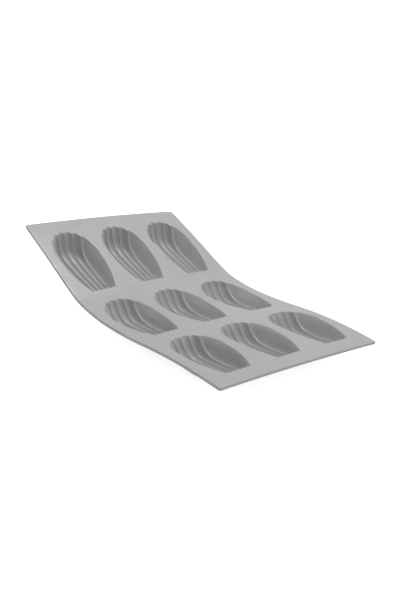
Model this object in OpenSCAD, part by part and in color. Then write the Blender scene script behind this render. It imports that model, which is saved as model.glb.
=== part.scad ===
// Flexible madeleine mould: nine shell cups in a thin sheet, shown bent as it lies
// x runs across the columns, y along the rows toward the raised back, z is up

/* [Cups] */
// Widest part of a cup's opening
cup_w = 44.8; // [38:0.1:55]
// Length of a cup's opening, from its straight end to the tips of the scallops
cup_l = 78.4; // [66:0.1:95]
// Width of the straight end
cup_end_w = 25; // [20:0.5:30]
// Distance from the straight end to the widest place
cup_wide_at = 45; // [38:0.5:54]
// Depth of the flutes where the cup is deepest
cup_depth = 16.8; // [14:0.1:21]
// Depth of the flutes beside the straight end
cup_end_depth = 9.4; // [8:0.1:12]
// Distance from the straight end at which the full depth is reached
cup_deep_at = 55; // [45:0.5:60]
// Thickness of a cup's wall, and width of its lip in the sheet
wall_t = 1.8; // [1.4:0.1:2.4]

/* [Flutes] */
// Width of the two middle flutes at the scallops
middle_flute_w = 8.2; // [6:0.1:10]
// Width of the two outer flutes at the scallops
outer_flute_w = 6.8; // [5:0.1:8]
// Width of each flute at the straight end
end_flute_w = 5.2; // [4:0.1:5.6]
// Height of the ridges between the flutes
ridge_h = 2.9; // [1:0.1:3.5]
// Height of the ridges at the straight end
ridge_end_h = 2.7; // [0.6:0.1:3]
// Distance in which the last ridge fades into the smooth side wall
ridge_fade = 2; // [1:0.1:5]

/* [Push-out floors] */
// Distance from the straight end to the loose floor of the cup
floor_end_inset = 6.7; // [5.5:0.1:8.5]
// Distance from the tips of the scallops to the loose floor
floor_tip_inset = 16.4; // [13:0.1:20]
// Gap all round the loose floor
floor_gap = 0.3; // [0.2:0.05:0.5]
// Length of the flat foot under the deepest place
foot_l = 8; // [5:0.5:10]

/* [Sheet] */
// Thickness of the sheet
sheet_t = 2.5; // [2:0.1:3]
// Gap between two cups of a row
column_gap = 10.4; // [6:0.1:16]
// Gap between two rows, where the sheet flexes
row_gap = 16.2; // [12:0.1:24]
// Distance from the outer cups to the long edges of the sheet
side_margin = 10.4; // [6:0.1:20]
// Distance from the outer cups to the short edges of the sheet
end_margin = 16.2; // [10:0.1:30]
// Strip of a row's panel between its cups and the flexing web
panel_margin = 2.8; // [2.5:0.1:4]
// Gap between a web and the panels beside it
web_gap = 0.3; // [0.2:0.05:0.5]
// Radius of the sheet's corners
corner_r = 2; // [1:0.5:8]

/* [Bend at rest] */
// Slope of the sheet at its front edge, in degrees, rising toward the back
front_edge_slope = 5.7; // [0:0.1:15]
// Slope at the back of the front row
front_row_slope = -4; // [-10:0.1:10]
// Slope at the front of the middle row
middle_front_slope = -3.6; // [-10:0.1:10]
// Slope halfway along the middle row
middle_row_slope = 0.9; // [-10:0.1:10]
// Slope at the back of the middle row
middle_back_slope = 11.8; // [0:0.1:20]
// Slope at the front of the back row
back_front_slope = 22; // [10:0.1:40]
// Slope a third of the way along the back row
back_row_slope = 26; // [10:0.1:40]
// Slope at the back edge
back_edge_slope = 23; // [10:0.1:40]
// Fall of the long edges below the middle of the sheet
crown = 1.6; // [0:0.1:3]
// Rise and fall of the corners by which the sheet is twisted
twist = 3.6; // [0:0.1:6]
// Lean by which both ends are turned the same way
lean = 2; // [0:0.1:4]

/* [Hidden] */

silicone = [0.67, 0.68, 0.69];
silicone_shade = [0.6, 0.61, 0.62];

// Rows from the front and columns from the left
front = 0;
middle = 1;
back = 2;
left = 0;
centre = 1;
right = 2;

sheet_w = 3 * cup_w + 2 * column_gap + 2 * side_margin;
sheet_l = 3 * cup_l + 2 * row_gap + 2 * end_margin;

// Steepness of the walls at the rim, as fall over distance from it
side_fall = 1.1;
end_fall = 2;
fan_fall = 1.25;
// How much steeper the side walls get for each millimetre from the rim
side_flare = 0.08;
// How much steeper the side walls are at the straight end than at the widest place, as a share
side_end_rise = 1;
// Roundness of the scalloped end's outline and of the wall's foot
fan_power = 2.4;
foot_power = 5;
// How the flutes spread and how the floor rises along the cup
spread_power = 1.3;
floor_power = 1.35;
// How thin the ridges are: below 1 the flutes have broad bottoms
ridge_power = 0.6;

// Number of steps along each side of a cup's outline
flute_steps = 4;
fan_steps = 4 * flute_steps;
side_steps = 10;
end_steps = 4;
outline_n = fan_steps + 2 * side_steps + end_steps;
floor_steps = 6;
web_steps = 5;
web_x_steps = 12;

// Depth below the sheet in which a cup's wall gives up the sheet's bend
settle_depth = 5;

function lerp(a, b, f) = a + (b - a) * f;
function unit(v) = v / norm(v);

// Outline of a cup without its notches, x from the middle and t from the straight end

flank_in = (cup_w - cup_end_w) / 2;
flank_r = (pow(flank_in, 2) + pow(cup_wide_at, 2)) / (2 * flank_in);
fan_l = cup_l - cup_wide_at;

function flank_w(t) = cup_w / 2 - flank_r + sqrt(max(0, pow(flank_r, 2) - pow(cup_wide_at - t, 2)));
function fan_w(t) = cup_w / 2 * pow(max(0, 1 - pow((t - cup_wide_at) / fan_l, fan_power)), 1 / fan_power);
function half_w(t) = t < cup_wide_at ? flank_w(t) : fan_w(t);
function fan_t(x) =
    cup_wide_at + fan_l * pow(1 - pow(min(1, abs(x) / (cup_w / 2)), fan_power), 1 / fan_power);

// Ridges: 0 is the middle one, 2 the last one before the smooth side wall

ridge_end_x = [0, end_flute_w, 2 * end_flute_w];
ridge_tip_x = [0, middle_flute_w, middle_flute_w + outer_flute_w];

function ridge_x(k, t) = lerp(ridge_end_x[k], ridge_tip_x[k], pow(max(0, t) / cup_l, spread_power));
function flute_x(q, t) =
    sign(q) * (abs(q) < 1
        ? abs(q) * ridge_x(1, t)
        : lerp(ridge_x(1, t), ridge_x(2, t), abs(q) - 1));
function flute_q(x, t) =
    abs(x) < ridge_x(1, t)
        ? abs(x) / ridge_x(1, t)
        : 1 + (abs(x) - ridge_x(1, t)) / (ridge_x(2, t) - ridge_x(1, t));
function ridge_share(x, t) =
    abs(x) < ridge_x(2, t)
        ? 1 - pow(abs(sin(180 * flute_q(x, t))), ridge_power)
        : pow(max(0, 1 - (abs(x) - ridge_x(2, t)) / ridge_fade), 2);
function ridge_height(t) = lerp(ridge_end_h, ridge_h, min(1, max(0, t) / cup_deep_at));

// Depth of the flute bottoms, of the inner surface and of the underside

function floor_depth(t) =
    cup_depth - (cup_depth - cup_end_depth) * pow(max(0, 1 - max(0, t) / cup_deep_at), floor_power);
function side_depth(w, t) =
    side_fall * w * (1 + side_flare * max(0, w)) * (1 + side_end_rise * max(0, 1 - t / cup_wide_at));
function wall_depths(x, t) =
    [side_depth(half_w(t) - abs(x), t), end_fall * t, fan_fall * (fan_t(x) - t), floor_depth(t)];
function smooth_min(d) =
    min(d) < 0.05
        ? max(0, min(d))
        : pow([for (v = d) pow(v, -foot_power)] * [1, 1, 1, 1], -1 / foot_power);
function flute_depth(x, t) = smooth_min(wall_depths(x, t));
function inner_depth(x, t) = flute_depth(x, t) - ridge_height(t) * ridge_share(x, t);
function fall(x, t) =
    norm([
        flute_depth(x + 0.4, t) - flute_depth(x - 0.4, t),
        flute_depth(x, t + 0.4) - flute_depth(x, t - 0.4)
    ]) / 0.8;
function outer_depth(x, t) = flute_depth(x, t) + wall_t * sqrt(1 + pow(fall(x, t), 2));

// Closed outlines, each point at [x, t], anticlockwise from the last ridge on the right

floor_t0 = floor_end_inset;
floor_t1 = cup_l - floor_tip_inset;

function outline(fan, flank, tip, end_x, t0) = concat(
    fan,
    [for (j = [1:side_steps]) let (t = lerp(tip, t0, j / side_steps)) [-flank(t), t]],
    [for (j = [1:end_steps]) [lerp(-end_x, end_x, j / end_steps), t0]],
    [for (j = [1:side_steps - 1]) let (t = lerp(t0, tip, j / side_steps)) [flank(t), t]]
);

fan_q = [for (i = [0:fan_steps]) 2 - i / flute_steps];
fan_x = [for (q = fan_q) flute_x(q, fan_t(flute_x(q, cup_l)))];
last_ridge_t = fan_t(fan_x[0]);
smooth_rim = outline(
    [for (x = fan_x) [x, fan_t(x)]],
    function(t) half_w(t),
    last_ridge_t, cup_end_w / 2, 0
);
rim = [
    for (i = [0:outline_n - 1]) let (p = smooth_rim[i])
    i > fan_steps ? p : p - [0, ridge_height(p[1]) / fan_fall * ridge_share(p[0], p[1])]
];
lip = [
    for (i = [0:outline_n - 1])
    let (
        before = smooth_rim[(i + outline_n - 1) % outline_n],
        after = smooth_rim[(i + 1) % outline_n],
        way = unit(after - before)
    )
    smooth_rim[i] + wall_t * [way[1], -way[0]]
];

// Edge of the loose floor, grown by g
function floor_edge(g) = outline(
    [
        for (q = fan_q)
        [flute_x(q, floor_t1) * (1 + g / ridge_x(2, floor_t1)), floor_t1 + g]
    ],
    function(t) ridge_x(2, t) + g,
    floor_t1 + g, ridge_x(2, floor_t0) + g, floor_t0 - g
);
hole = floor_edge(floor_gap);

// The sheet's bend: slopes between stations change evenly, so each stretch is an arc

function row_s(row) = end_margin + row * (cup_l + row_gap);
function column_x(column) = (column - 1) * (cup_w + column_gap);
function panel_s0(row) = row == front ? 0 : row_s(row) - panel_margin;
function panel_s1(row) = row == back ? sheet_l : row_s(row) + cup_l + panel_margin;

stations = [
    0, panel_s1(front),
    panel_s0(middle), row_s(middle) + cup_l / 2, panel_s1(middle),
    panel_s0(back), row_s(back) + cup_l / 3, sheet_l
];
slopes = [
    front_edge_slope, front_row_slope,
    middle_front_slope, middle_row_slope, middle_back_slope,
    back_front_slope, back_row_slope, back_edge_slope
];

function slope_at(s) = lookup(s, [for (i = [0:len(stations) - 1]) [stations[i], slopes[i]]]);
function arc_step(length, slope0, slope1) =
    let (
        half = (slope1 - slope0) / 2,
        chord = abs(half) < 0.001 ? length : length * sin(half) / (half * PI / 180)
    )
    chord * [cos((slope0 + slope1) / 2), sin((slope0 + slope1) / 2)];
function station_place(i) =
    i == 0
        ? [0, 0]
        : station_place(i - 1) + arc_step(stations[i] - stations[i - 1], slopes[i - 1], slopes[i]);
places = [for (i = [0:len(stations) - 1]) station_place(i)];
function stretch(s) = max([for (i = [0:len(stations) - 2]) s >= stations[i] ? i : 0]);
function path(s) =
    let (i = stretch(s))
    places[i] + arc_step(s - stations[i], slopes[i], slope_at(s));

// Height of the sheet over its path, from its crown, twist and lean
function warp(x, s) =
    let (u = 2 * x / sheet_w, v = 2 * s / sheet_l - 1)
    -crown * u * u - twist * u * v - lean * u * v * v;

// Place of a point h below the top face at x, s of the flat sheet
function bend(x, s, h) =
    let (a = slope_at(s), p = path(s), rise = warp(x, s) - h)
    [x, p[0] - sin(a) * rise, p[1] + cos(a) * rise];

// Each cup keeps its own stiff frame, set by four points of its rim

function cup_frame(row, column) =
    let (
        x = column_x(column),
        s = row_s(row),
        near = bend(x, s, 0),
        far = bend(x, s + cup_l, 0),
        along = unit(far - near),
        across = unit(bend(x + cup_w / 2, s + cup_wide_at, 0) - bend(x - cup_w / 2, s + cup_wide_at, 0)),
        up = unit(cross(across, along)),
        middle_point = (near + far) / 4 + bend(x, s + cup_l / 2, 0) / 2
    )
    [middle_point, cross(along, up), along, up];
function stiff(frame, x, t, h) =
    frame[0] + x * frame[1] + (t - cup_l / 2) * frame[2] - h * frame[3];
function settled(frame, row, column, p, h, share) =
    lerp(
        stiff(frame, p[0], p[1], h),
        bend(column_x(column) + p[0], row_s(row) + p[1], h),
        share * min(1, max(0, 1 - (h - sheet_t) / settle_depth))
    );

// The part stands on its lowest feet, centred under its own box

foot_h = cup_depth + wall_t;
floor_t = [
    floor_t0, lerp(floor_t0, cup_deep_at - foot_l, 1 / 3), lerp(floor_t0, cup_deep_at - foot_l, 2 / 3),
    cup_deep_at - foot_l / 2 - 2, cup_deep_at + foot_l / 2 - 2, lerp(cup_deep_at + foot_l / 2 - 2, floor_t1, 0.5),
    floor_t1
];
function is_foot(i, j) = abs(fan_q[i]) <= 1 && (j == 3 || j == 4);
function floor_under(i, j) =
    let (x = flute_x(fan_q[i], floor_t[j]), t = floor_t[j])
    is_foot(i, j) ? foot_h : min(foot_h, outer_depth(x, t));

edge_x = [for (i = [0:web_x_steps]) lerp(-sheet_w / 2, sheet_w / 2, i / web_x_steps)];
front_y = min([for (x = edge_x) bend(x, 0, 0)[1]]);
back_y = max([for (x = edge_x) bend(x, sheet_l, sheet_t)[1]]);
foot_z = min([
    for (row = [front, middle], column = [left:right], i = [0:fan_steps], j = [0:floor_steps])
    stiff(cup_frame(row, column), flute_x(fan_q[i], floor_t[j]), floor_t[j], floor_under(i, j))[2]
]);
shift = [0, -(front_y + back_y) / 2, -foot_z];

// Faces of a band of closed rings, one after another, whose last ring meets the first
// A four-sided face is split along its other diagonal where turned(r, i) says so
function ring_faces(rings, n, turned = function(r, i) false) = [
    for (r = [0:rings - 1], i = [0:n - 1])
    let (
        a = r * n + i,
        b = r * n + (i + 1) % n,
        c = (r + 1) % rings * n + (i + 1) % n,
        d = (r + 1) % rings * n + i
    )
    each turned(r, i) ? [[a, b, d], [b, c, d]] : [[a, b, c], [a, c, d]]
];

// Faces of a slab: top grid, then bottom grid, of nu by nv points
function slab_faces(nu, nv) =
    let (under = nu * nv)
    concat(
        [
            for (i = [0:nu - 2], j = [0:nv - 2])
            let (a = i * nv + j, b = a + 1, c = a + nv + 1, d = a + nv)
            each [[a, b, c], [a, c, d], [under + a, under + c, under + b], [under + a, under + d, under + c]]
        ],
        [
            for (i = [0:nu - 2])
            let (a = i * nv, d = a + nv, e = a + nv - 1, f = e + nv)
            each [[a, d, under + d], [a, under + d, under + a], [f, e, under + e], [f, under + e, under + f]]
        ],
        [
            for (j = [0:nv - 2])
            let (a = j, b = j + 1, e = (nu - 1) * nv + j, f = e + 1)
            each [[b, a, under + a], [b, under + a, under + b], [e, f, under + f], [e, under + f, under + e]]
        ]
    );

// Samples along one side of a panel's cell, with one at the corner radius from each end
function side_sample(a, b, n, i) =
    i == 0 ? a
    : i == n ? b
    : lerp(a + corner_r * sign(b - a), b - corner_r * sign(b - a), (i - 1) / (n - 2));
function rounded(x, s) =
    let (
        dx = sheet_w / 2 - abs(x),
        ds = min(s, sheet_l - s),
        cut = corner_r * (1 - sqrt(0.5)),
        in = dx < 0.01 && ds < 0.01 ? cut : 0
    )
    [x - sign(x) * in, s + (s < sheet_l / 2 ? in : -in)];
function cell_edge(x0, x1, s0, s1) = concat(
    [for (i = [0:fan_steps]) rounded(side_sample(x1, x0, fan_steps, i), s1)],
    [for (i = [1:side_steps]) rounded(x0, side_sample(s1, s0, side_steps, i))],
    [for (i = [1:end_steps]) rounded(side_sample(x0, x1, end_steps, i), s0)],
    [for (i = [1:side_steps - 1]) rounded(x1, side_sample(s0, s1, side_steps, i))]
);

module panel_cell(row, column) {
    x0 = column == left ? -sheet_w / 2 : (column_x(column) + column_x(column - 1)) / 2;
    x1 = column == right ? sheet_w / 2 : (column_x(column) + column_x(column + 1)) / 2;
    edge = cell_edge(x0, x1, panel_s0(row), panel_s1(row));
    opening = [for (p = lip) [column_x(column) + p[0], row_s(row) + p[1]]];
    points = [
        for (ring = [[opening, 0], [edge, 0], [edge, sheet_t], [opening, sheet_t]], p = ring[0])
        bend(p[0], p[1], ring[1])
    ];
    polyhedron(points, ring_faces(4, outline_n, function(r, i) meets_turned(r, i)));
}

// Splits that match those of a cup's lip and of the next cell
function meets_turned(r, i) = r == 3 || (r == 1 && i >= fan_steps && i < fan_steps + side_steps);

module panel(row) {
    color(silicone) translate(shift) union() {
        for (column = [left:right]) panel_cell(row, column);
    }
}

// The strip between one row's panel and the next, which bends
module web(row) {
    s0 = panel_s1(row) + web_gap;
    s1 = panel_s0(row + 1) - web_gap;
    points = [
        for (h = [0, sheet_t], x = edge_x, j = [0:web_steps])
        bend(x, lerp(s0, s1, j / web_steps), h)
    ];
    color(silicone_shade) translate(shift)
        polyhedron(points, slab_faces(web_x_steps + 1, web_steps + 1));
}

// Wall of one cup, with the lip that fills its opening in the panel
module cup_wall(row, column) {
    frame = cup_frame(row, column);
    inner_shares = [0, 0.3, 0.65];
    outer_shares = [1, 0.45, 0];
    points = concat(
        [
            for (f = inner_shares, i = [0:outline_n - 1])
            let (p = lerp(hole[i], rim[i], f))
            settled(frame, row, column, p, inner_depth(p[0], p[1]), sign(f))
        ],
        [for (p = rim) settled(frame, row, column, p, 0, 1)],
        [for (p = lip) settled(frame, row, column, p, 0, 1)],
        [for (p = lip) settled(frame, row, column, p, sheet_t, 1)],
        [
            for (f = outer_shares, i = [0:outline_n - 1])
            let (p = lerp(hole[i], smooth_rim[i], f), q = lerp(hole[i], smooth_rim[i], min(f, 0.93)))
            settled(
                frame, row, column, p,
                flute_depth(p[0], p[1]) + outer_depth(q[0], q[1]) - flute_depth(q[0], q[1]), sign(f)
            )
        ]
    );
    color(silicone) translate(shift) polyhedron(points, ring_faces(9, outline_n));
}

// Fluted floor of one cup, which is pushed up from below to free the cake
module cup_floor(row, column) {
    frame = cup_frame(row, column);
    points = concat(
        [
            for (i = [fan_steps:-1:0], t = floor_t)
            let (x = flute_x(fan_q[i], t))
            stiff(frame, x, t, inner_depth(x, t))
        ],
        [
            for (i = [fan_steps:-1:0], j = [0:floor_steps])
            stiff(frame, flute_x(fan_q[i], floor_t[j]), floor_t[j], floor_under(i, j))
        ]
    );
    color(silicone_shade) translate(shift)
        polyhedron(points, slab_faces(fan_steps + 1, floor_steps + 1));
}

panel(front);  // front_panel
panel(middle);  // middle_panel
panel(back);  // back_panel
web(front);  // front_web
web(middle);  // back_web
cup_wall(front, left);  // cup_wall_front_left
cup_wall(front, centre);  // cup_wall_front_centre
cup_wall(front, right);  // cup_wall_front_right
cup_wall(middle, left);  // cup_wall_middle_left
cup_wall(middle, centre);  // cup_wall_middle_centre
cup_wall(middle, right);  // cup_wall_middle_right
cup_wall(back, left);  // cup_wall_back_left
cup_wall(back, centre);  // cup_wall_back_centre
cup_wall(back, right);  // cup_wall_back_right
cup_floor(front, left);  // cup_floor_front_left
cup_floor(front, centre);  // cup_floor_front_centre
cup_floor(front, right);  // cup_floor_front_right
cup_floor(middle, left);  // cup_floor_middle_left
cup_floor(middle, centre);  // cup_floor_middle_centre
cup_floor(middle, right);  // cup_floor_middle_right
cup_floor(back, left);  // cup_floor_back_left
cup_floor(back, centre);  // cup_floor_back_centre
cup_floor(back, right);  // cup_floor_back_right
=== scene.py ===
"""Flexible madeleine mould: nine shell cups in a thin grey sheet that lies in a loose S bend.

The mould is modelled flat, cup by cup and panel by panel, and then laid in its bend.
"""
import math
from types import SimpleNamespace

import bmesh
import bpy
import numpy as np
from mathutils import Matrix, Vector


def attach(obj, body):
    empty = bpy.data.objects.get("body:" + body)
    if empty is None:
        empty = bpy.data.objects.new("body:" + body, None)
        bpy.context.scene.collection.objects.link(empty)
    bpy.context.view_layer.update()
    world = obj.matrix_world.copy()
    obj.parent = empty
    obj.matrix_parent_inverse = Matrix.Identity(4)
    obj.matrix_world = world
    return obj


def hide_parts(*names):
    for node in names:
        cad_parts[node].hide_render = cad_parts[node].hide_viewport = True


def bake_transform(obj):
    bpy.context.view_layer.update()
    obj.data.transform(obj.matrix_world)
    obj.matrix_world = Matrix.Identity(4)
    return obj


bl_info = {
    "name": "Madeleine Mould",
    "version": (1, 0, 0),
    "blender": (4, 5, 0),
    "location": "View3D > Sidebar > Mould",
    "description": "Models a flexible madeleine mould on its packed frame",
    "category": "Add Mesh",
}

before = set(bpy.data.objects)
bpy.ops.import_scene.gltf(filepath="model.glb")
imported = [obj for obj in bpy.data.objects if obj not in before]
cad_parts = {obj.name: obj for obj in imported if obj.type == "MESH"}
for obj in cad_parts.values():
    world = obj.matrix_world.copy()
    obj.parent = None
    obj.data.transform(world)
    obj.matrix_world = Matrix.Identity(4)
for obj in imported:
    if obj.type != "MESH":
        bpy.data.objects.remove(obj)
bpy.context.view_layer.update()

ROWS = ("front", "middle", "back")
COLUMNS = ("left", "centre", "right")


def length(name, description, default):
    return bpy.props.FloatProperty(
        name=name, description=description, default=default, unit="LENGTH", precision=5
    )


def angle(name, description, degrees):
    return bpy.props.FloatProperty(
        name=name, description=description, default=math.radians(degrees), unit="ROTATION"
    )


def colour(name, description, default):
    return bpy.props.FloatVectorProperty(
        name=name, description=description, default=default, subtype="COLOR", size=3, min=0, max=1
    )


class MouldCups(bpy.types.PropertyGroup):
    """Sizes of one cup."""

    width: length("Width", "Widest part of a cup's opening", 0.0448)
    length: length("Length", "From the straight end to the tips of the scallops", 0.0784)
    end_width: length("End width", "Width of the straight end", 0.025)
    wide_at: length("Widest at", "Distance from the straight end to the widest place", 0.045)
    depth: length("Depth", "Depth of the flutes where the cup is deepest", 0.0168)
    end_depth: length("End depth", "Depth of the flutes beside the straight end", 0.0094)
    deep_at: length("Deep at", "Distance from the straight end to the full depth", 0.055)
    wall: length("Wall", "Thickness of a cup's wall and width of its lip", 0.0018)
    floor_end_inset: length("Floor inset at the end", "From the straight end to the floor", 0.0067)
    floor_tip_inset: length("Floor inset at the tips", "From the scallops to the floor", 0.0164)
    rim_round: length("Rim rounding", "Depth over which the rim is rounded", 0.0009)


class MouldFlutes(bpy.types.PropertyGroup):
    """Sizes of the flutes and of the ridges between them."""

    middle_width: length("Middle flutes", "Width of the two middle flutes at the scallops", 0.0082)
    outer_width: length("Outer flutes", "Width of the two outer flutes at the scallops", 0.0068)
    end_width: length("Flutes at the end", "Width of each flute at the straight end", 0.0052)
    ridge_height: length("Ridge height", "Height of the ridges between the flutes", 0.0029)
    ridge_end_height: length("Ridge height at the end", "Height at the straight end", 0.0027)
    ridge_fade: length("Fade", "Distance in which the last ridge fades into the side", 0.002)
    crest_round: bpy.props.FloatProperty(
        name="Crest rounding", description="How round the crests are, as a share", default=0.04
    )
    under_share: bpy.props.FloatProperty(
        name="Ridges below", description="Share of the ridges that shows below", default=0.5
    )


class MouldSheet(bpy.types.PropertyGroup):
    """Sizes of the sheet."""

    thickness: length("Thickness", "Thickness of the sheet", 0.0025)
    column_gap: length("Column gap", "Gap between two cups of a row", 0.0104)
    row_gap: length("Row gap", "Gap between two rows, where the sheet flexes", 0.0162)
    side_margin: length("Side margin", "From the outer cups to the long edges", 0.0104)
    end_margin: length("End margin", "From the outer cups to the short edges", 0.0162)
    panel_margin: length("Panel margin", "From a row's cups to the flexing strip", 0.0028)
    corner_radius: length("Corner radius", "Radius of the sheet's corners", 0.002)
    edge_round: length("Edge rounding", "Rounding of the sheet's edges", 0.0005)


class MouldBend(bpy.types.PropertyGroup):
    """The bend in which the mould lies."""

    front_edge: angle("Front edge", "Slope of the sheet at its front edge", 5.7)
    front_row: angle("Front row", "Slope at the back of the front row", -4)
    middle_front: angle("Middle row, front", "Slope at the front of the middle row", -3.6)
    middle_row: angle("Middle row", "Slope halfway along the middle row", 0.9)
    middle_back: angle("Middle row, back", "Slope at the back of the middle row", 11.8)
    back_front: angle("Back row, front", "Slope at the front of the back row", 22)
    back_row: angle("Back row", "Slope a third of the way along the back row", 26)
    back_edge: angle("Back edge", "Slope at the back edge", 23)
    crown: length("Crown", "Fall of the long edges below the middle", 0.0016)
    twist: length("Twist", "Rise and fall of the corners", 0.0036)
    lean: length("Lean", "Lean that turns both ends the same way", 0.002)


class MouldFinish(bpy.types.PropertyGroup):
    """Colour and finish of the silicone."""

    base: colour("Silicone", "Colour of the silicone", (0.43, 0.425, 0.433))
    bloom: colour("Bloom", "Colour of the faint dry bloom on it", (0.482, 0.476, 0.485))
    roughness: bpy.props.FloatProperty(name="Roughness", description="Satin finish", default=0.35)
    grain: length("Grain", "Size of the fine moulded grain", 0.0009)


class MouldStage(bpy.types.PropertyGroup):
    """Camera, floor and lights."""

    camera_place: bpy.props.FloatVectorProperty(
        name="Camera", description="Place of the camera", default=(-0.6429, -0.7691, 0.3886),
        subtype="XYZ", unit="LENGTH"
    )
    camera_aim: bpy.props.FloatVectorProperty(
        name="Aim", description="Point in the middle of the picture",
        default=(0.0158, 0.0061, 0.02), subtype="XYZ", unit="LENGTH"
    )
    camera_roll: angle("Roll", "Tilt of the horizon", -3.84)
    lens: bpy.props.FloatProperty(name="Lens", description="Focal length in mm", default=70.9)
    floor: colour("Floor", "Colour of the floor", (0.9, 0.9, 0.9))
    lamp_place: bpy.props.FloatVectorProperty(
        name="Lamp", description="Place of the lamp", default=(0.45, 0.25, 1.5),
        subtype="XYZ", unit="LENGTH"
    )
    lamp_size: length("Lamp size", "Width of the round lamp", 0.25)
    lamp_power: bpy.props.FloatProperty(name="Lamp power", description="Power in watts", default=10.5)
    bright_side: bpy.props.FloatVectorProperty(
        name="Bright side", description="Direction from which most of the soft light comes",
        default=(0.7, 0.1, 0.6), subtype="DIRECTION"
    )
    soft_low: bpy.props.FloatProperty(
        name="Dim side level", description="Soft light from the dim side", default=0.3
    )
    soft_high: bpy.props.FloatProperty(
        name="Bright side level", description="Soft light from the bright side", default=0.77
    )


class Shape:
    """The flat mould and its bend as functions of the sizes, in millimetres and degrees."""

    # Points along the scallops and along each side of a cup, and how they crowd towards the crests
    FAN_STEPS, SIDE_STEPS, CROWDING = 48, 28, 0.12
    # How steeply the walls fall at the sides, at the straight end and at the scallops
    SIDE_FALL, SIDE_FLARE, SIDE_END_RISE, END_FALL, FAN_FALL = 1.1, 0.08, 1.0, 2.0, 1.25
    # How full the scalloped end, the foot of the wall, the fan of the flutes, the floor and a ridge are
    FAN_POWER, FOOT_POWER, SPREAD_POWER, FLOOR_POWER, RIDGE_POWER = 2.4, 5.0, 1.3, 1.35, 0.6
    # Least depth at which the wall and the floor are blended
    LEAST_DEPTH = 0.05
    # Reach over which the slope of the wall is taken, depth in which ridges appear below, and the
    # rounding between the sheet's underside and a cup
    SLOPE_REACH, UNDER_FADE, UNDER_ROUND = 0.4, 4, 0.9
    # Rings of points up the wall: distances from the foot, then shares of the depth, then shares of
    # the rim's rounding
    FOOT_RINGS, FOOT_SHARE = (0.25, 0.6, 1.1, 1.8), 0.3
    WALL_RINGS = (0.86, 0.72, 0.58, 0.45, 0.33, 0.22, 0.14)
    RIM_RINGS = (1, 0.65, 0.3, 0, -0.35, -0.7, -1)
    HALVINGS = 30
    # Depth below the sheet at which a cup no longer follows the bend
    SETTLE_DEPTH = 5.0
    # Places along a cup where its lowest point may lie, from the place of its full depth
    LOWEST_PLACES = (-6, 2)

    def __init__(self, scene):
        def sizes(group):
            return SimpleNamespace(**{k: getattr(group, k) * 1000 for k in group.__annotations__})

        self.cup = sizes(scene.mould_cups)
        self.flute = sizes(scene.mould_flutes)
        self.sheet = sizes(scene.mould_sheet)
        self.crest_round = scene.mould_flutes.crest_round
        self.under_share = scene.mould_flutes.under_share
        c, s, b = self.cup, self.sheet, scene.mould_bend
        flank_in = (c.width - c.end_width) / 2
        self.flank_r = (flank_in**2 + c.wide_at**2) / (2 * flank_in)
        self.fan_l = c.length - c.wide_at
        self.width = 3 * c.width + 2 * s.column_gap + 2 * s.side_margin
        self.long = 3 * c.length + 2 * s.row_gap + 2 * s.end_margin
        self.crown, self.twist, self.lean = b.crown * 1000, b.twist * 1000, b.lean * 1000
        self.stations = np.array([
            0, self.row_end(0),
            self.row_start(1), self.row_s(1) + c.length / 2, self.row_end(1),
            self.row_start(2), self.row_s(2) + c.length / 3, self.long,
        ])
        self.slopes = np.degrees([
            b.front_edge, b.front_row,
            b.middle_front, b.middle_row, b.middle_back,
            b.back_front, b.back_row, b.back_edge,
        ])
        places = [np.zeros(2)]
        for i in range(len(self.stations) - 1):
            run = self.stations[i + 1] - self.stations[i]
            places.append(places[-1] + self.arc(run, self.slopes[i], self.slopes[i + 1]))
        self.places = np.array(places)
        self.shift = np.zeros(3)
        self.shift = self.stand()
        self.outline = self.make_outline()

    # Outline and depths of a cup, x from its middle and t from its straight end

    def half_width(self, t):
        c = self.cup
        flank = c.width / 2 - self.flank_r + np.sqrt(
            np.maximum(0, self.flank_r**2 - (c.wide_at - t) ** 2)
        )
        reach = np.clip((t - c.wide_at) / self.fan_l, 0, 1)
        fan = c.width / 2 * (1 - reach**self.FAN_POWER) ** (1 / self.FAN_POWER)
        return np.where(t < c.wide_at, flank, fan)

    def fan_end(self, x):
        share = np.minimum(1, np.abs(x) / (self.cup.width / 2))
        return self.cup.wide_at + self.fan_l * (1 - share**self.FAN_POWER) ** (1 / self.FAN_POWER)

    def ridge_x(self, k, t):
        f = self.flute
        at_end = k * f.end_width
        at_tip = k * f.middle_width if k < 2 else f.middle_width + f.outer_width
        return at_end + (at_tip - at_end) * (np.maximum(0, t) / self.cup.length) ** self.SPREAD_POWER

    def flute_x(self, q, t):
        a, first, last = np.abs(q), self.ridge_x(1, t), self.ridge_x(2, t)
        return np.sign(q) * np.where(a < 1, a * first, first + (last - first) * (a - 1))

    def ridge_share(self, x, t):
        a, first, last = np.abs(x), self.ridge_x(1, t), self.ridge_x(2, t)
        q = np.where(a < first, a / first, 1 + (a - first) / (last - first))
        crest, fade = self.crest_round, self.flute.ridge_fade
        top = 1 - crest**self.RIDGE_POWER
        inside = 1 - np.hypot(np.sin(np.pi * q), crest) ** self.RIDGE_POWER
        away = np.hypot(a - last, fade * (1 - math.sqrt(top)))
        outside = (1 - np.minimum(1, away / fade)) ** 2
        return np.where(a < last, inside, outside) / top

    def under_ridge(self, x, t):
        a, first, last = np.abs(x), self.ridge_x(1, t), self.ridge_x(2, t)
        q = np.where(a < first, a / first, 1 + (a - first) / (last - first))
        away = np.clip((a - last) / self.flute.ridge_fade, 0, 1)
        inside = np.cos(np.pi * np.minimum(q, 2)) ** 4
        return np.where(a < last, inside, (1 - away**2) ** 2) * self.under_share

    def ridge_height(self, t):
        f = self.flute
        share = np.clip(t / self.cup.deep_at, 0, 1)
        return f.ridge_end_height + (f.ridge_height - f.ridge_end_height) * share

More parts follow.
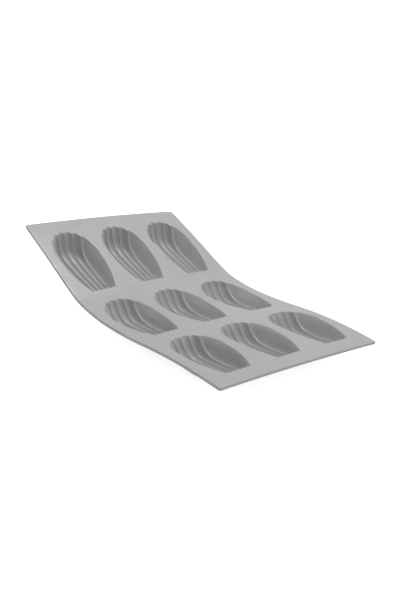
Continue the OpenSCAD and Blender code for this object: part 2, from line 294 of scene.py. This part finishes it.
    def flute_depth(self, x, t):
        c = self.cup
        rise = np.maximum(0, 1 - np.maximum(0, t) / c.deep_at) ** self.FLOOR_POWER
        inward = self.half_width(t) - np.abs(x)
        steeper = (1 + self.SIDE_FLARE * np.maximum(0, inward)) * (
            1 + self.SIDE_END_RISE * np.maximum(0, 1 - t / c.wide_at)
        )
        depths = np.stack(np.broadcast_arrays(
            self.SIDE_FALL * inward * steeper,
            self.END_FALL * t,
            self.FAN_FALL * (self.fan_end(x) - t),
            c.depth - (c.depth - c.end_depth) * rise,
        ))
        least = depths.min(0)
        kept = np.maximum(depths, self.LEAST_DEPTH)
        smooth = (kept ** -self.FOOT_POWER).sum(0) ** (-1 / self.FOOT_POWER)
        return np.where(least < self.LEAST_DEPTH, least, smooth)

    def signed_depth(self, x, t):
        return self.flute_depth(x, t) - self.ridge_height(t) * self.ridge_share(x, t)

    def rounded(self, depth, reach):
        arc = (depth + reach) ** 2 / (4 * reach)
        return np.where(depth < -reach, 0, np.where(depth > reach, depth, arc))

    def top_depth(self, x, t):
        return self.rounded(self.signed_depth(x, t), self.cup.rim_round)

    def under_depth(self, x, t):
        d = self.SLOPE_REACH
        fall = np.hypot(
            self.flute_depth(x + d, t) - self.flute_depth(x - d, t),
            self.flute_depth(x, t + d) - self.flute_depth(x, t - d),
        ) / (2 * d)
        wall = self.cup.wall * np.sqrt(1 + np.minimum(fall, self.END_FALL) ** 2)
        depth = np.minimum(self.flute_depth(x, t) + wall, self.cup.depth + self.cup.wall)
        near = np.clip((depth - self.sheet.thickness) / self.UNDER_FADE, 0, 1)
        depth = depth - near * self.ridge_height(t) * self.under_ridge(x, t)
        return self.sheet.thickness + self.rounded(depth - self.sheet.thickness, self.UNDER_ROUND)

    # Points around a cup: on the floor's edge, on the rim and on the lip

    def make_outline(self):
        c, n, m = self.cup, self.FAN_STEPS, self.SIDE_STEPS
        t0, t1 = c.floor_end_inset, c.length - c.floor_tip_inset
        self.floor_t0, self.floor_t1 = t0, t1
        q = np.array([self.crowded(2 - 4 * i / n) for i in range(n + 1)])
        rim_x = np.array([float(self.flute_x(v, self.fan_end(self.flute_x(v, c.length)))) for v in q])
        fan = [("fan", v, t1, x, float(self.fan_end(x))) for v, x in zip(q, rim_x)]
        tip = fan[0][4]
        flank = [tip * (1 - j / m) for j in range(1, m + 1)]
        left = [
            ("side", -2, t1 + (t0 - t1) * j / m, -float(self.half_width(t)), t)
            for j, t in enumerate(flank, 1)
        ]
        end = [("end", -v, t0, self.end_rim_x(-v), 0.0) for v in q[1:]]
        right = [("side", 2, p[2], -p[3], p[4]) for p in left[-2::-1]]
        return fan + left + end + right

    def crowded(self, q):
        """Crowds points towards the crests of the ridges."""
        return q - self.CROWDING * math.sin(2 * math.pi * q)

    def end_rim_x(self, q):
        a = abs(q)
        first, last = float(self.ridge_x(1, 0)), self.cup.end_width / 2
        return math.copysign(a * first if a < 1 else first + (last - first) * (a - 1), q)

    def floor_edge(self):
        return np.array([[float(self.flute_x(q, t)), t] for _, q, t, _, _ in self.outline])

    def rim(self):
        return np.array([[x, t] for _, _, _, x, t in self.outline])

    def lip(self):
        rim = self.rim()
        way = np.roll(rim, -1, 0) - np.roll(rim, 1, 0)
        way /= np.linalg.norm(way, axis=1)[:, None]
        return rim + self.cup.wall * np.stack([way[:, 1], -way[:, 0]], 1)

    def wall_point(self, f):
        """Points between the floor's edge, f = 0, the smooth rim, f = 1, and the lip, f = 2."""
        foot, rim, lip = self.floor_edge(), self.rim(), self.lip()
        f = np.broadcast_to(f, len(foot)).astype(float)
        inner, outer = np.clip(f, 0, 1)[:, None], np.clip(f - 1, 0, 1)[:, None]
        p = foot + (rim - foot) * inner
        along_flute = np.array([s[0] == "fan" for s in self.outline])
        q = np.array([s[1] for s in self.outline], float)
        line = self.flute_x(q, p[:, 1])
        tip_x = self.flute_x(q, rim[:, 1])
        line = line + (rim[:, 0] - tip_x) * inner[:, 0]
        p[:, 0] = np.where(along_flute, line, p[:, 0])
        return p + (lip - rim) * outer

    def wall_rings(self):
        """Rings of points up the wall, closer together at the foot and at the rim."""
        reach = np.linalg.norm(self.rim() - self.floor_edge(), axis=1)
        rings = [np.minimum(step / reach, self.FOOT_SHARE) for step in self.FOOT_RINGS]
        start = rings[-1]
        deep = self.signed_depth(*self.wall_point(start).T)
        targets = [deep * share for share in self.WALL_RINGS]
        targets += [np.full_like(deep, share * self.cup.rim_round) for share in self.RIM_RINGS]
        for target in targets:
            low, high = start.copy(), np.full_like(start, 2.0)
            for _ in range(self.HALVINGS):
                middle = (low + high) / 2
                deeper = self.signed_depth(*self.wall_point(middle).T) > target
                low, high = np.where(deeper, middle, low), np.where(deeper, high, middle)
            rings.append((low + high) / 2)
        rings = np.maximum.accumulate(np.array(rings), axis=0)
        return [self.wall_point(f) for f in rings] + [self.lip()]

    # The flat sheet, x from its middle and s from its front edge

    def row_s(self, row):
        return self.sheet.end_margin + row * (self.cup.length + self.sheet.row_gap)

    def column_x(self, column):
        return (column - 1) * (self.cup.width + self.sheet.column_gap)

    def row_start(self, row):
        return 0 if row == 0 else self.row_s(row) - self.sheet.panel_margin

    def row_end(self, row):
        return self.long if row == 2 else self.row_s(row) + self.cup.length + self.sheet.panel_margin

    def cell_edge(self, row, column):
        """Edge of the part of the sheet round one cup, a point for each point of the cup's lip."""
        half = self.width / 2
        pitch = (self.cup.width + self.sheet.column_gap) / 2
        x0 = -half if column == 0 else self.column_x(column) - pitch
        x1 = half if column == 2 else self.column_x(column) + pitch
        s0, s1 = self.row_start(row), self.row_end(row)
        n, m = self.FAN_STEPS, self.SIDE_STEPS

        def ease(i, count):
            return 0.5 - 0.5 * math.cos(math.pi * i / count)

        points = [(x1 + (x0 - x1) * ease(i, n), s1) for i in range(n + 1)]
        points += [(x0, s1 + (s0 - s1) * ease(i, m)) for i in range(1, m + 1)]
        points += [(x0 + (x1 - x0) * ease(i, n), s0) for i in range(1, n + 1)]
        points += [(x1, s0 + (s1 - s0) * ease(i, m)) for i in range(1, m)]
        return np.array([self.corner(x, s) for x, s in points])

    def corner(self, x, s):
        r = self.sheet.corner_radius
        cx = math.copysign(self.width / 2 - r, x)
        cs = r if s < self.long / 2 else self.long - r
        beyond = (x - cx) * math.copysign(1, x) > 0 and (s - cs) * (1 if cs > r else -1) > 0
        if not beyond:
            return (x, s)
        d = math.hypot(x - cx, s - cs)
        return (cx + (x - cx) / d * r, cs + (s - cs) / d * r)

    # The bend

    def arc(self, run, slope0, slope1):
        half = np.radians(np.asarray(slope1) - slope0) / 2
        chord = run * np.sinc(half / np.pi)
        middle = np.radians((np.asarray(slope1) + slope0) / 2)
        return np.stack([chord * np.cos(middle), chord * np.sin(middle)], -1)

    def bend(self, x, s, h):
        """Place of a point h below the top face at x, s of the flat sheet."""
        x, s, h = np.broadcast_arrays(*(np.asarray(v, float) for v in (x, s, h)))
        i = np.clip(np.searchsorted(self.stations, s, side="right") - 1, 0, len(self.stations) - 2)
        slope = np.interp(s, self.stations, self.slopes)
        path = self.places[i] + self.arc(s - self.stations[i], self.slopes[i], slope)
        u, v = 2 * x / self.width, 2 * s / self.long - 1
        rise = -self.crown * u * u - self.twist * u * v - self.lean * u * v * v - h
        a = np.radians(slope)
        place = [x, path[..., 0] - np.sin(a) * rise, path[..., 1] + np.cos(a) * rise]
        return np.stack(place, -1) + self.shift

    def cup_frame(self, row, column):
        """A cup's stiff frame: its middle, across, along and up."""
        x, s, c = self.column_x(column), self.row_s(row), self.cup
        near, far = self.bend(x, s, 0), self.bend(x, s + c.length, 0)
        wide = s + c.wide_at
        across = self.bend(x + c.width / 2, wide, 0) - self.bend(x - c.width / 2, wide, 0)
        along = (far - near) / np.linalg.norm(far - near)
        up = np.cross(across, along)
        up = up / np.linalg.norm(up)
        middle = (near + far) / 4 + self.bend(x, s + c.length / 2, 0) / 2
        return middle, np.cross(along, up), along, up

    def stiff(self, place, x, t, h):
        middle, across, along, up = place
        x, t, h = (np.asarray(v, float)[..., None] for v in (x, t, h))
        return middle + x * across + (t - self.cup.length / 2) * along - h * up

    def settled(self, row, column, x, t, h):
        """A cup's rim follows the sheet's bend, and its deeper parts stay stiff."""
        share = np.clip(1 - (h - self.sheet.thickness) / self.SETTLE_DEPTH, 0, 1)[..., None]
        stiff = self.stiff(self.cup_frame(row, column), x, t, h)
        bent = self.bend(self.column_x(column) + x, self.row_s(row) + t, h)
        return stiff + (bent - stiff) * share

    def stand(self):
        """Shift that centres the mould and stands its lowest cups on the floor."""
        edge = np.linspace(-self.width / 2, self.width / 2, 13)
        front = self.bend(edge, 0, 0)[:, 1].min()
        back = self.bend(edge, self.long, self.sheet.thickness)[:, 1].max()
        foot = self.cup.depth + self.cup.wall
        lowest = min(
            self.stiff(self.cup_frame(row, column), self.flute_x(q, t), t, foot)[2]
            for row in (0, 1) for column in range(3)
            for q in (-1, 0, 1) for t in (self.cup.deep_at + d for d in self.LOWEST_PLACES)
        )
        return np.array([0, -(front + back) / 2, -lowest])


# Modelling

# Rings of faces round a cup in its panel, faces across and along a web, and round a sheet's edge
PANEL_RINGS, WEB_ACROSS, WEB_ALONG, EDGE_SEGMENTS = 6, 72, 10, 3
# Lengths in metres below which points of a cup, and of two cells of a panel, are merged
CUP_MERGE, CELL_MERGE = 0.000001, 0.00001
# Lengths in millimetres below which two places of the flat sheet count as the same
NEAR, NEAR_ARC, NEAR_POINT = 0.01, 0.05, 0.001


def deselect():
    if bpy.context.object and bpy.context.object.mode != "OBJECT":
        bpy.ops.object.mode_set(mode="OBJECT")
    bpy.ops.object.select_all(action="DESELECT")


def edit(obj):
    deselect()
    obj.select_set(True)
    bpy.context.view_layer.objects.active = obj
    bpy.ops.object.mode_set(mode="EDIT")


def named(name):
    obj = bpy.context.object
    obj.name = obj.data.name = name
    return obj


def read(obj):
    co = np.zeros(len(obj.data.vertices) * 3)
    obj.data.vertices.foreach_get("co", co)
    return co.reshape(-1, 3)


def write(obj, co):
    obj.data.vertices.foreach_set("co", np.asarray(co, float).ravel())
    obj.data.update()


def number_outline(obj, order):
    """Numbers the vertices of the outline, so that each extruded ring keeps the numbers."""
    layer = obj.data.attributes.new("around", "INT", "POINT")
    numbers = np.full(len(obj.data.vertices), -1, np.int32)
    for number, vertex in enumerate(order):
        numbers[vertex] = number
    layer.data.foreach_set("value", numbers)


def extrude_rings(obj, rings):
    """Extrudes the selected edge loop once for each ring of points, given in millimetres."""
    edit(obj)
    for ring in rings:
        bpy.ops.mesh.extrude_edges_move()
        bm = bmesh.from_edit_mesh(obj.data)
        layer = bm.verts.layers.int["around"]
        for v in bm.verts:
            if v.select:
                x, y = ring[v[layer]]
                v.co = (x / 1000, y / 1000, 0)
        bmesh.update_edit_mesh(obj.data)
    bpy.ops.object.mode_set(mode="OBJECT")


def apply_modifier(obj, kind, **settings):
    deselect()
    obj.select_set(True)
    bpy.context.view_layer.objects.active = obj
    modifier = obj.modifiers.new(kind.title(), kind)
    for key, value in settings.items():
        setattr(modifier, key, value)
    bpy.ops.object.modifier_apply(modifier=modifier.name)


def finish_piece(obj, material, nodes):
    layer = obj.data.attributes.get("around")
    if layer:
        obj.data.attributes.remove(layer)
    obj.data.materials.clear()
    obj.data.materials.append(material)
    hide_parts(*nodes)


def model_cup(shape):
    """One cup, flat and open to the top, as a closed skin."""
    n, m = shape.FAN_STEPS, shape.SIDE_STEPS
    deselect()
    bpy.ops.mesh.primitive_grid_add(x_subdivisions=n, y_subdivisions=m, size=1)
    obj = named("cup_model")
    co = read(obj)
    column = np.rint((co[:, 0] + 0.5) * n).astype(int)
    line = np.rint((co[:, 1] + 0.5) * m).astype(int)
    q = np.array([shape.crowded(-2 + 4 * i / n) for i in range(n + 1)])[column]
    t = shape.floor_t0 + (shape.floor_t1 - shape.floor_t0) * line / m
    write(obj, np.stack([shape.flute_x(q, t), t, 0 * t], 1) / 1000)
    at = {(c, r): i for i, (c, r) in enumerate(zip(column, line))}
    order = [at[n - i, m] for i in range(n + 1)] + [at[0, m - j] for j in range(1, m + 1)]
    order += [at[i, 0] for i in range(1, n + 1)] + [at[n, j] for j in range(1, m)]
    number_outline(obj, order)
    edit(obj)
    bpy.ops.mesh.select_all(action="SELECT")
    bpy.ops.mesh.region_to_loop()
    extrude_rings(obj, shape.wall_rings())

    # The underside is a turned copy, joined to the top along the lip
    edit(obj)
    bpy.ops.mesh.select_all(action="SELECT")
    bpy.ops.mesh.normals_make_consistent(inside=False)
    bpy.ops.mesh.duplicate()
    bpy.ops.mesh.flip_normals()
    bm = bmesh.from_edit_mesh(obj.data)
    top = [v for v in bm.verts if not v.select]
    under = [v for v in bm.verts if v.select]
    for verts, depth in ((top, shape.top_depth), (under, shape.under_depth)):
        flat = np.array([v.co[:2] for v in verts]) * 1000
        for v, h in zip(verts, depth(flat[:, 0], flat[:, 1])):
            v.co.z = -h / 1000
    bmesh.update_edit_mesh(obj.data)
    bpy.ops.mesh.select_mode(type="EDGE")
    bpy.ops.mesh.select_all(action="DESELECT")
    bpy.ops.mesh.select_non_manifold(
        extend=False, use_wire=False, use_boundary=True, use_multi_face=False,
        use_non_contiguous=False, use_verts=False
    )
    bpy.ops.mesh.mark_sharp()
    bpy.ops.mesh.bridge_edge_loops()
    bpy.ops.mesh.select_all(action="SELECT")
    bpy.ops.mesh.remove_doubles(threshold=CUP_MERGE)
    bpy.ops.mesh.normals_make_consistent(inside=False)
    bpy.ops.object.mode_set(mode="OBJECT")
    bpy.ops.object.shade_smooth()
    return obj


def place_cup(shape, model, row, column):
    """Copies the cup's model and settles the copy in its place in the bent sheet."""
    deselect()
    model.select_set(True)
    bpy.context.view_layer.objects.active = model
    bpy.ops.object.duplicate()
    obj = named(f"cup_{ROWS[row]}_{COLUMNS[column]}")
    flat = read(obj) * 1000
    write(obj, shape.settled(row, column, flat[:, 0], flat[:, 1], -flat[:, 2]) / 1000)
    return obj


def model_panel(shape, row):
    """The part of the sheet round one row of cups, flat."""
    cells = []
    lip = shape.lip()
    for column in range(3):
        deselect()
        bpy.ops.mesh.primitive_circle_add(vertices=len(lip), fill_type="NOTHING")
        cell = named(f"cell_{column}")
        hole = lip + [shape.column_x(column), shape.row_s(row)]
        write(cell, np.column_stack([hole, np.zeros(len(hole))]) / 1000)
        number_outline(cell, range(len(lip)))
        edge = shape.cell_edge(row, column)
        edit(cell)
        bpy.ops.mesh.select_all(action="SELECT")
        rings = [hole + (edge - hole) * i / PANEL_RINGS for i in range(1, PANEL_RINGS + 1)]
        extrude_rings(cell, rings)
        cells.append(cell)
    deselect()
    for cell in cells:
        cell.select_set(True)
    bpy.context.view_layer.objects.active = cells[0]
    bpy.ops.object.join()
    obj = named(f"sheet_{ROWS[row]}")
    edit(obj)
    bpy.ops.mesh.select_all(action="SELECT")
    bpy.ops.mesh.remove_doubles(threshold=CELL_MERGE)
    bpy.ops.mesh.normals_make_consistent(inside=False)
    face_up(obj)
    return obj


def model_web(shape, row):
    """The plain strip between two rows, flat."""
    s0, s1 = shape.row_end(row), shape.row_start(row + 1)
    deselect()
    bpy.ops.mesh.primitive_grid_add(
        x_subdivisions=WEB_ACROSS, y_subdivisions=WEB_ALONG, size=1,
        location=(0, (s0 + s1) / 2000, 0)
    )
    obj = named(f"web_{('front', 'back')[row]}")
    obj.scale = (shape.width / 1000, (s1 - s0) / 1000, 1)
    bpy.ops.object.transform_apply(location=True, rotation=True, scale=True)
    face_up(obj)
    return obj


def face_up(obj):
    edit(obj)
    bm = bmesh.from_edit_mesh(obj.data)
    bm.faces.ensure_lookup_table()
    turned = bm.faces[0].normal.z < 0
    bpy.ops.mesh.select_all(action="SELECT")
    if turned:
        bpy.ops.mesh.flip_normals()
    bpy.ops.object.mode_set(mode="OBJECT")


def thicken(shape, obj):
    """Gives a flat part of the sheet its thickness and rounds the sheet's own edges."""
    apply_modifier(
        obj, "SOLIDIFY", thickness=shape.sheet.thickness / 1000, offset=-1, use_rim=True
    )
    round_off = obj.data.attributes.new("bevel_weight_edge", "FLOAT", "EDGE")
    sharp = obj.data.attributes.new("sharp_edge", "BOOLEAN", "EDGE")
    flat = read(obj) * 1000
    r = shape.sheet.corner_radius
    dx = shape.width / 2 - np.abs(flat[:, 0])
    ds = np.minimum(flat[:, 1], shape.long - flat[:, 1])
    on_arc = (dx < r) & (ds < r) & (np.hypot(r - dx, r - ds) > r - NEAR_ARC)
    rim = (dx < NEAR) | (ds < NEAR) | on_arc
    ends = np.zeros(len(obj.data.edges) * 2, int)
    obj.data.edges.foreach_get("vertices", ends)
    a, b = ends.reshape(-1, 2).T
    level = np.abs(flat[a, 2] - flat[b, 2]) < NEAR
    crossing = np.hypot(*(flat[a, :2] - flat[b, :2]).T) > NEAR_POINT
    round_off.data.foreach_set("value", (rim[a] & rim[b] & level & crossing).astype(np.float32))
    sharp.data.foreach_set("value", face_turns(obj) & ~(rim[a] & rim[b]))
    apply_modifier(
        obj, "BEVEL", limit_method="WEIGHT", width=shape.sheet.edge_round / 1000,
        segments=EDGE_SEGMENTS
    )
    deselect()
    obj.select_set(True)
    bpy.context.view_layer.objects.active = obj
    bpy.ops.object.shade_smooth()


def face_turns(obj):
    """True for each edge between a level face and an upright one."""
    bm = bmesh.new()
    bm.from_mesh(obj.data)
    turns = []
    for e in bm.edges:
        up = [abs(f.normal.z) > 0.5 for f in e.link_faces]
        turns.append(any(up) and not all(up))
    bm.free()
    return np.array(turns)


def lay(shape, obj):
    """Lays a flat part of the sheet in its bend."""
    flat = read(obj) * 1000
    write(obj, shape.bend(flat[:, 0], flat[:, 1], -flat[:, 2]) / 1000)


# Finish

# Scale, detail and roughness of the cloudy bloom and of the smudges, and detail of the grain
CLOUDS, SMUDGES, GRAIN_DETAIL = (22, 4, 0.6), (70, 3, 0.55), 2
# How much of the bloom shows at most, and how far the smudges change the roughness
BLOOM_SHARE, SMUDGE_LOW, SMUDGE_HIGH = 0.6, -0.05, 0.06
# Strength and height in metres of the grain and of the soft waves
GRAIN_BUMP, WAVE_BUMP = (0.25, 0.00012), (0.25, 0.0006)
SILICONE_IOR, SILICONE_SHEEN, SHEEN_ROUGHNESS = 1.43, 0.05, 0.5


def socket(tree, name, direction, kind, value=None):
    made = tree.interface.new_socket(name=name, in_out=direction, socket_type=kind)
    if value is not None:
        made.default_value = value
    return made


def silicone_skin():
    """Shader group: cloudy colour, patchy satin and fine grain of moulded silicone."""
    tree = bpy.data.node_groups.new("silicone_skin", "ShaderNodeTree")
    socket(tree, "Base", "INPUT", "NodeSocketColor", (0.4, 0.4, 0.4, 1))
    socket(tree, "Bloom", "INPUT", "NodeSocketColor", (0.44, 0.44, 0.44, 1))
    socket(tree, "Roughness", "INPUT", "NodeSocketFloat", 0.45)
    socket(tree, "Grain Size", "INPUT", "NodeSocketFloat", 0.001)
    socket(tree, "Color", "OUTPUT", "NodeSocketColor")
    socket(tree, "Roughness", "OUTPUT", "NodeSocketFloat")
    socket(tree, "Normal", "OUTPUT", "NodeSocketVector")
    nodes, links = tree.nodes, tree.links
    given, result = nodes.new("NodeGroupInput"), nodes.new("NodeGroupOutput")
    place = nodes.new("ShaderNodeTexCoord")

    def noise(scale, detail, roughness=0.5):
        made = nodes.new("ShaderNodeTexNoise")
        made.inputs["Scale"].default_value = scale
        made.inputs["Detail"].default_value = detail
        made.inputs["Roughness"].default_value = roughness
        links.new(place.outputs["Object"], made.inputs["Vector"])
        return made

    def spread(source, low, high, to_low, to_high):
        made = nodes.new("ShaderNodeMapRange")
        for key, value in (("From Min", low), ("From Max", high), ("To Min", to_low), ("To Max", to_high)):
            made.inputs[key].default_value = value
        links.new(source, made.inputs["Value"])
        return made.outputs["Result"]

    def bump(size, source):
        made = nodes.new("ShaderNodeBump")
        made.inputs["Strength"].default_value, made.inputs["Distance"].default_value = size
        links.new(source, made.inputs["Height"])
        return made

    clouds = noise(*CLOUDS)
    smudges = noise(*SMUDGES)
    mix = nodes.new("ShaderNodeMix")
    mix.data_type = "RGBA"
    links.new(spread(clouds.outputs["Fac"], 0.35, 0.7, 0, BLOOM_SHARE), mix.inputs["Factor"])
    links.new(given.outputs["Base"], mix.inputs["A"])
    links.new(given.outputs["Bloom"], mix.inputs["B"])
    links.new(mix.outputs["Result"], result.inputs["Color"])
    add = nodes.new("ShaderNodeMath")
    add.operation = "ADD"
    links.new(given.outputs["Roughness"], add.inputs[0])
    links.new(spread(smudges.outputs["Fac"], 0.3, 0.7, SMUDGE_LOW, SMUDGE_HIGH), add.inputs[1])
    links.new(add.outputs["Value"], result.inputs["Roughness"])
    scale = nodes.new("ShaderNodeMath")
    scale.operation = "DIVIDE"
    scale.inputs[0].default_value = 1.0
    links.new(given.outputs["Grain Size"], scale.inputs[1])
    grain = noise(1, GRAIN_DETAIL)
    links.new(scale.outputs["Value"], grain.inputs["Scale"])
    fine = bump(GRAIN_BUMP, grain.outputs["Fac"])
    waves = bump(WAVE_BUMP, clouds.outputs["Fac"])
    links.new(fine.outputs["Normal"], waves.inputs["Normal"])
    links.new(waves.outputs["Normal"], result.inputs["Normal"])
    return tree


def silicone(finish):
    material = bpy.data.materials.new("grey_silicone")
    material.use_nodes = True
    nodes, links = material.node_tree.nodes, material.node_tree.links
    shader = nodes["Principled BSDF"]
    skin = nodes.new("ShaderNodeGroup")
    skin.node_tree = bpy.data.node_groups.get("silicone_skin") or silicone_skin()
    skin.inputs["Base"].default_value = (*finish.base, 1)
    skin.inputs["Bloom"].default_value = (*finish.bloom, 1)
    skin.inputs["Roughness"].default_value = finish.roughness
    skin.inputs["Grain Size"].default_value = finish.grain
    links.new(skin.outputs["Color"], shader.inputs["Base Color"])
    links.new(skin.outputs["Roughness"], shader.inputs["Roughness"])
    links.new(skin.outputs["Normal"], shader.inputs["Normal"])
    shader.inputs["IOR"].default_value = SILICONE_IOR
    shader.inputs["Sheen Weight"].default_value = SILICONE_SHEEN
    shader.inputs["Sheen Roughness"].default_value = SHEEN_ROUGHNESS
    return material


def silicone_material():
    return bpy.data.materials.get("grey_silicone") or silicone(bpy.context.scene.mould_finish)


# Operators


class MOULD_OT_sheet(bpy.types.Operator):
    """Model the parts of the sheet round each row of cups"""

    bl_idname = "mould.sheet"
    bl_label = "Row Panels"

    def execute(self, context):
        shape = Shape(context.scene)
        for row in range(3):
            obj = model_panel(shape, row)
            thicken(shape, obj)
            lay(shape, obj)
            finish_piece(obj, silicone_material(), [f"{ROWS[row]}_panel"])
            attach(obj, f"{ROWS[row]}_row")
        return {"FINISHED"}


class MOULD_OT_webs(bpy.types.Operator):
    """Model the strips between the rows, where the sheet flexes"""

    bl_idname = "mould.webs"
    bl_label = "Flexing Strips"
    # Width in millimetres of a strip's edges next to its rows
    held = 1.3

    def execute(self, context):
        shape = Shape(context.scene)
        for row, name in ((0, "front"), (1, "back")):
            obj = model_web(shape, row)
            thicken(shape, obj)
            lay(shape, obj)
            finish_piece(obj, silicone_material(), [f"{name}_web"])
            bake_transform(obj)
        return {"FINISHED"}


class MOULD_OT_cups(bpy.types.Operator):
    """Model one shell cup and settle a copy of it in each opening of the sheet"""

    bl_idname = "mould.cups"
    bl_label = "Shell Cups"
    # Depths in millimetres between which the real mould's wall stretches when its floor is pushed up
    still, pushed = 3, 15.5

    def execute(self, context):
        shape = Shape(context.scene)
        model = model_cup(shape)
        for row in range(3):
            for column in range(3):
                obj = place_cup(shape, model, row, column)
                cup = f"{ROWS[row]}_{COLUMNS[column]}"
                finish_piece(obj, silicone_material(), [f"cup_wall_{cup}", f"cup_floor_{cup}"])
                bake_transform(obj)
        bpy.data.objects.remove(model)
        return {"FINISHED"}


class MOULD_OT_stage(bpy.types.Operator):
    """Set up the floor, the soft lights and the camera"""

    bl_idname = "mould.stage"
    bl_label = "Stage"
    floor_size, floor_roughness, floor_gloss, floor_glow = 30, 0.9, 0.1, 0.85
    soft_colour, soft_focus = (0.985, 0.985, 1.0), 2

    def execute(self, context):
        stage = context.scene.mould_stage
        self.floor(stage)
        self.world(context.scene, stage)
        self.lamp(stage)
        self.camera(context.scene, stage)
        context.scene.view_settings.view_transform = "Standard"
        return {"FINISHED"}

    def floor(self, stage):
        deselect()
        bpy.ops.mesh.primitive_plane_add(size=self.floor_size)
        floor = named("floor")
        material = bpy.data.materials.new("floor")
        material.use_nodes = True
        nodes, links = material.node_tree.nodes, material.node_tree.links
        shader = nodes["Principled BSDF"]
        shader.inputs["Base Color"].default_value = (*stage.floor, 1)
        shader.inputs["Roughness"].default_value = self.floor_roughness
        shader.inputs["Specular IOR Level"].default_value = self.floor_gloss
        seen = nodes.new("ShaderNodeLightPath")
        glow = nodes.new("ShaderNodeEmission")
        glow.inputs["Color"].default_value = (1, 1, 1, 1)
        lift = nodes.new("ShaderNodeMath")
        lift.operation = "MULTIPLY"
        lift.inputs[1].default_value = self.floor_glow
        both = nodes.new("ShaderNodeAddShader")
        links.new(seen.outputs["Is Camera Ray"], lift.inputs[0])
        links.new(lift.outputs["Value"], glow.inputs["Strength"])
        links.new(shader.outputs["BSDF"], both.inputs[0])
        links.new(glow.outputs["Emission"], both.inputs[1])
        links.new(both.outputs["Shader"], nodes["Material Output"].inputs["Surface"])
        floor.data.materials.append(material)

    def world(self, scene, stage):
        """White where it is seen, and as a light brighter on one side."""
        world = bpy.data.worlds.new("studio")
        scene.world = world
        world.use_nodes = True
        nodes, links = world.node_tree.nodes, world.node_tree.links
        ground = nodes["Background"]
        ground.inputs["Color"].default_value = (*self.soft_colour, 1)
        way = nodes.new("ShaderNodeTexCoord")
        toward = nodes.new("ShaderNodeVectorMath")
        toward.operation = "DOT_PRODUCT"
        toward.inputs[1].default_value = Vector(stage.bright_side).normalized()
        share = nodes.new("ShaderNodeMapRange")
        share.inputs["From Min"].default_value = -1
        focus = nodes.new("ShaderNodeMath")
        focus.operation = "POWER"
        focus.inputs[1].default_value = self.soft_focus
        level = nodes.new("ShaderNodeMapRange")
        level.inputs["To Min"].default_value = stage.soft_low
        level.inputs["To Max"].default_value = stage.soft_high
        seen = nodes.new("ShaderNodeLightPath")
        strength = nodes.new("ShaderNodeMapRange")
        strength.inputs["To Max"].default_value = 1.0
        links.new(way.outputs["Generated"], toward.inputs[0])
        links.new(toward.outputs["Value"], share.inputs["Value"])
        links.new(share.outputs["Result"], focus.inputs[0])
        links.new(focus.outputs["Value"], level.inputs["Value"])
        links.new(level.outputs["Result"], strength.inputs["To Min"])
        links.new(seen.outputs["Is Camera Ray"], strength.inputs["Value"])
        links.new(strength.outputs["Result"], ground.inputs["Strength"])

    def lamp(self, stage):
        deselect()
        bpy.ops.object.light_add(type="AREA", location=stage.lamp_place)
        lamp = named("lamp")
        lamp.data.shape = "DISK"
        lamp.data.size = stage.lamp_size
        lamp.data.energy = stage.lamp_power
        lamp.rotation_euler = (-Vector(stage.lamp_place)).to_track_quat("-Z", "Y").to_euler()

    def camera(self, scene, stage):
        deselect()
        bpy.ops.object.camera_add(location=stage.camera_place)
        camera = named("camera")
        way = Vector(stage.camera_aim) - Vector(stage.camera_place)
        turn = way.to_track_quat("-Z", "Y").to_matrix()
        roll = Vector((0, 0, 1))
        camera.rotation_euler = (turn @ Matrix.Rotation(-stage.camera_roll, 3, roll)).to_euler()
        camera.data.lens = stage.lens
        camera.data.sensor_width = 36
        camera.data.sensor_fit = "AUTO"
        camera.data.clip_start, camera.data.clip_end = 0.01, 50
        scene.camera = camera


class MOULD_PT_panel(bpy.types.Panel):
    """Sizes, finish and steps of the mould"""

    bl_label = "Madeleine Mould"
    bl_idname = "MOULD_PT_panel"
    bl_space_type = "VIEW_3D"
    bl_region_type = "UI"
    bl_category = "Mould"

    def draw(self, context):
        for label, group in GROUPS.items():
            box = self.layout.box()
            box.label(text=label)
            values = getattr(context.scene, group)
            for key in values.__annotations__:
                box.prop(values, key)
        for operator in (MOULD_OT_sheet, MOULD_OT_webs, MOULD_OT_cups, MOULD_OT_stage):
            self.layout.operator(operator.bl_idname)


GROUPS = {
    "Cups": "mould_cups",
    "Flutes": "mould_flutes",
    "Sheet": "mould_sheet",
    "Bend": "mould_bend",
    "Finish": "mould_finish",
    "Stage": "mould_stage",
}
TYPES = (MouldCups, MouldFlutes, MouldSheet, MouldBend, MouldFinish, MouldStage)
CLASSES = TYPES + (MOULD_OT_sheet, MOULD_OT_webs, MOULD_OT_cups, MOULD_OT_stage, MOULD_PT_panel)


def register():
    for cls in CLASSES:
        bpy.utils.register_class(cls)
    for group, cls in zip(GROUPS.values(), TYPES):
        setattr(bpy.types.Scene, group, bpy.props.PointerProperty(type=cls))


def unregister():
    for group in GROUPS.values():
        delattr(bpy.types.Scene, group)
    for cls in reversed(CLASSES):
        bpy.utils.unregister_class(cls)


def main():
    register()
    bpy.ops.mould.sheet()
    bpy.ops.mould.webs()
    bpy.ops.mould.cups()
    bpy.ops.mould.stage()
    deselect()


if __name__ == "__main__":
    main()
